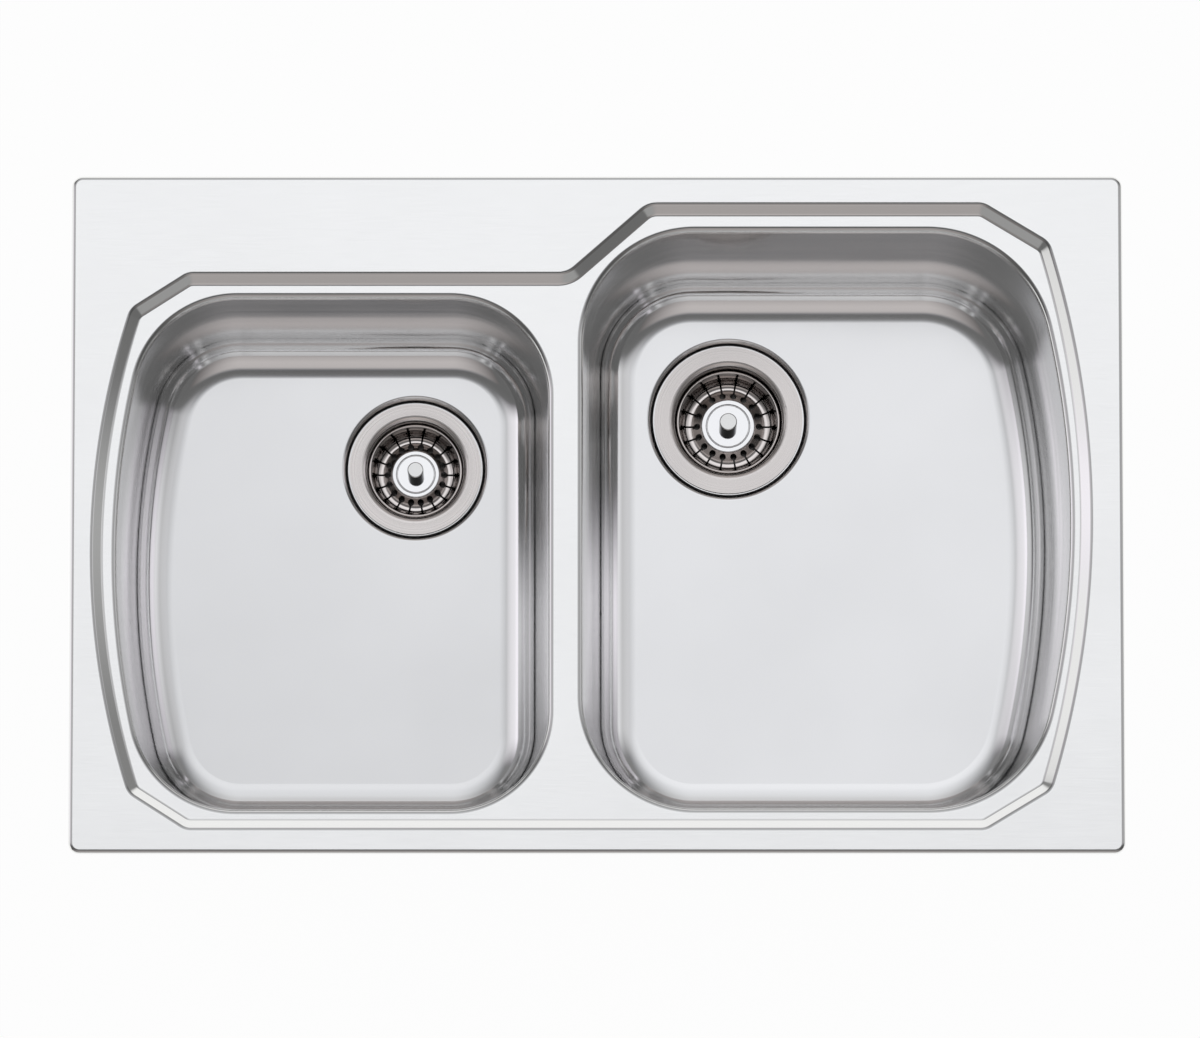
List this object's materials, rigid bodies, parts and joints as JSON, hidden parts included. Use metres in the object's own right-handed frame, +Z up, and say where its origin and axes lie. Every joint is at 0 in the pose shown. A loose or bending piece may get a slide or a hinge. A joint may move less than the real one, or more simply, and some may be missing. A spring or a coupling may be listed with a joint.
{
  "type": "inset kitchen sink",
  "caption": "Inset kitchen sink in pressed steel with a main and a side bowl, a stepped deck, lift-out basket strainers and clamp clips under the edge.",
  "frame": {"origin": "middle of the deck's outline, on the worktop plane where the rim seal sits", "axes": "+X to the right along the deck's length, +Y to the back, +Z up out of the bowls"},
  "size_m": [0.77, 0.5, 0.2859],
  "materials": {
    "deck_steel": "satin",
    "bowl_steel": "satin",
    "strainer_steel": "satin",
    "polished_steel": "polished",
    "seal_rubber": "matt",
    "sound_pad": "matt",
    "waste_plastic": "moulded",
    "insert_brass": "turned",
    "zinc_steel": "zinc plated"
  },
  "bodies": {
    "sink": {"deck": "deck_steel", "left_bowl": "bowl_steel", "right_bowl": "bowl_steel", "rim_seal": "seal_rubber", "clip_rails": "zinc_steel", "clip_brackets": "zinc_steel", "left_sound_pad": "sound_pad", "right_sound_pad": "sound_pad", "left_strainer_pot": "strainer_steel", "left_clamp_screw": "strainer_steel", "left_flange_seal": "seal_rubber", "left_body_seal": "seal_rubber", "left_waste_body": "waste_plastic", "left_thread_insert": "insert_brass", "right_strainer_pot": "strainer_steel", "right_clamp_screw": "strainer_steel", "right_flange_seal": "seal_rubber", "right_body_seal": "seal_rubber", "right_waste_body": "waste_plastic", "right_thread_insert": "insert_brass"},
    "left_basket_unit": {"left_basket": "strainer_steel", "left_basket_cap": "polished_steel", "left_knob": "polished_steel", "left_stem": "strainer_steel", "left_stopper_seal": "seal_rubber", "left_stem_ring": "seal_rubber"},
    "right_basket_unit": {"right_basket": "strainer_steel", "right_basket_cap": "polished_steel", "right_knob": "polished_steel", "right_stem": "strainer_steel", "right_stopper_seal": "seal_rubber", "right_stem_ring": "seal_rubber"},
    "clip_screw_1": {"clip_screw_1": "zinc_steel"},
    "claw_1": {"claw_1": "zinc_steel"},
    "clip_screw_2": {"clip_screw_2": "zinc_steel"},
    "claw_2": {"claw_2": "zinc_steel"},
    "clip_screw_3": {"clip_screw_3": "zinc_steel"},
    "claw_3": {"claw_3": "zinc_steel"},
    "clip_screw_4": {"clip_screw_4": "zinc_steel"},
    "claw_4": {"claw_4": "zinc_steel"},
    "clip_screw_5": {"clip_screw_5": "zinc_steel"},
    "claw_5": {"claw_5": "zinc_steel"},
    "clip_screw_6": {"clip_screw_6": "zinc_steel"},
    "claw_6": {"claw_6": "zinc_steel"},
    "clip_screw_7": {"clip_screw_7": "zinc_steel"},
    "claw_7": {"claw_7": "zinc_steel"},
    "clip_screw_8": {"clip_screw_8": "zinc_steel"},
    "claw_8": {"claw_8": "zinc_steel"}
  },
  "joints": [
    {"name": "left_basket_lift", "type": "slide", "parent": "sink", "child": "left_basket_unit", "axis": [0, 0, 1], "range_m": [0, 0.225]},
    {"name": "right_basket_lift", "type": "slide", "parent": "sink", "child": "right_basket_unit", "axis": [0, 0, 1], "range_m": [0, 0.26]},
    {"name": "clip_screw_1_travel", "type": "slide", "parent": "sink", "child": "clip_screw_1", "axis": [0, 0, 1], "range_m": [0, 0.014]},
    {"name": "claw_1_swing", "type": "hinge", "parent": "clip_screw_1", "child": "claw_1", "pos_m": [-0.2, -0.2305, -0.05], "axis": [0, 0, 1], "range_deg": [0, 90]},
    {"name": "clip_screw_2_travel", "type": "slide", "parent": "sink", "child": "clip_screw_2", "axis": [0, 0, 1], "range_m": [0, 0.014]},
    {"name": "claw_2_swing", "type": "hinge", "parent": "clip_screw_2", "child": "claw_2", "pos_m": [0.2, -0.2305, -0.05], "axis": [0, 0, 1], "range_deg": [0, 90]},
    {"name": "clip_screw_3_travel", "type": "slide", "parent": "sink", "child": "clip_screw_3", "axis": [0, 0, 1], "range_m": [0, 0.014]},
    {"name": "claw_3_swing", "type": "hinge", "parent": "clip_screw_3", "child": "claw_3", "pos_m": [-0.2, 0.2305, -0.05], "axis": [0, 0, 1], "range_deg": [0, 90]},
    {"name": "clip_screw_4_travel", "type": "slide", "parent": "sink", "child": "clip_screw_4", "axis": [0, 0, 1], "range_m": [0, 0.014]},
    {"name": "claw_4_swing", "type": "hinge", "parent": "clip_screw_4", "child": "claw_4", "pos_m": [0.2, 0.2305, -0.05], "axis": [0, 0, 1], "range_deg": [0, 90]},
    {"name": "clip_screw_5_travel", "type": "slide", "parent": "sink", "child": "clip_screw_5", "axis": [0, 0, 1], "range_m": [0, 0.014]},
    {"name": "claw_5_swing", "type": "hinge", "parent": "clip_screw_5", "child": "claw_5", "pos_m": [-0.3655, -0.17, -0.05], "axis": [0, 0, 1], "range_deg": [0, 90]},
    {"name": "clip_screw_6_travel", "type": "slide", "parent": "sink", "child": "clip_screw_6", "axis": [0, 0, 1], "range_m": [0, 0.014]},
    {"name": "claw_6_swing", "type": "hinge", "parent": "clip_screw_6", "child": "claw_6", "pos_m": [-0.3655, 0.17, -0.05], "axis": [0, 0, 1], "range_deg": [0, 90]},
    {"name": "clip_screw_7_travel", "type": "slide", "parent": "sink", "child": "clip_screw_7", "axis": [0, 0, 1], "range_m": [0, 0.014]},
    {"name": "claw_7_swing", "type": "hinge", "parent": "clip_screw_7", "child": "claw_7", "pos_m": [0.3655, -0.17, -0.05], "axis": [0, 0, 1], "range_deg": [0, 90]},
    {"name": "clip_screw_8_travel", "type": "slide", "parent": "sink", "child": "clip_screw_8", "axis": [0, 0, 1], "range_m": [0, 0.014]},
    {"name": "claw_8_swing", "type": "hinge", "parent": "clip_screw_8", "child": "claw_8", "pos_m": [0.3655, 0.17, -0.05], "axis": [0, 0, 1], "range_deg": [0, 90]}
  ]
}
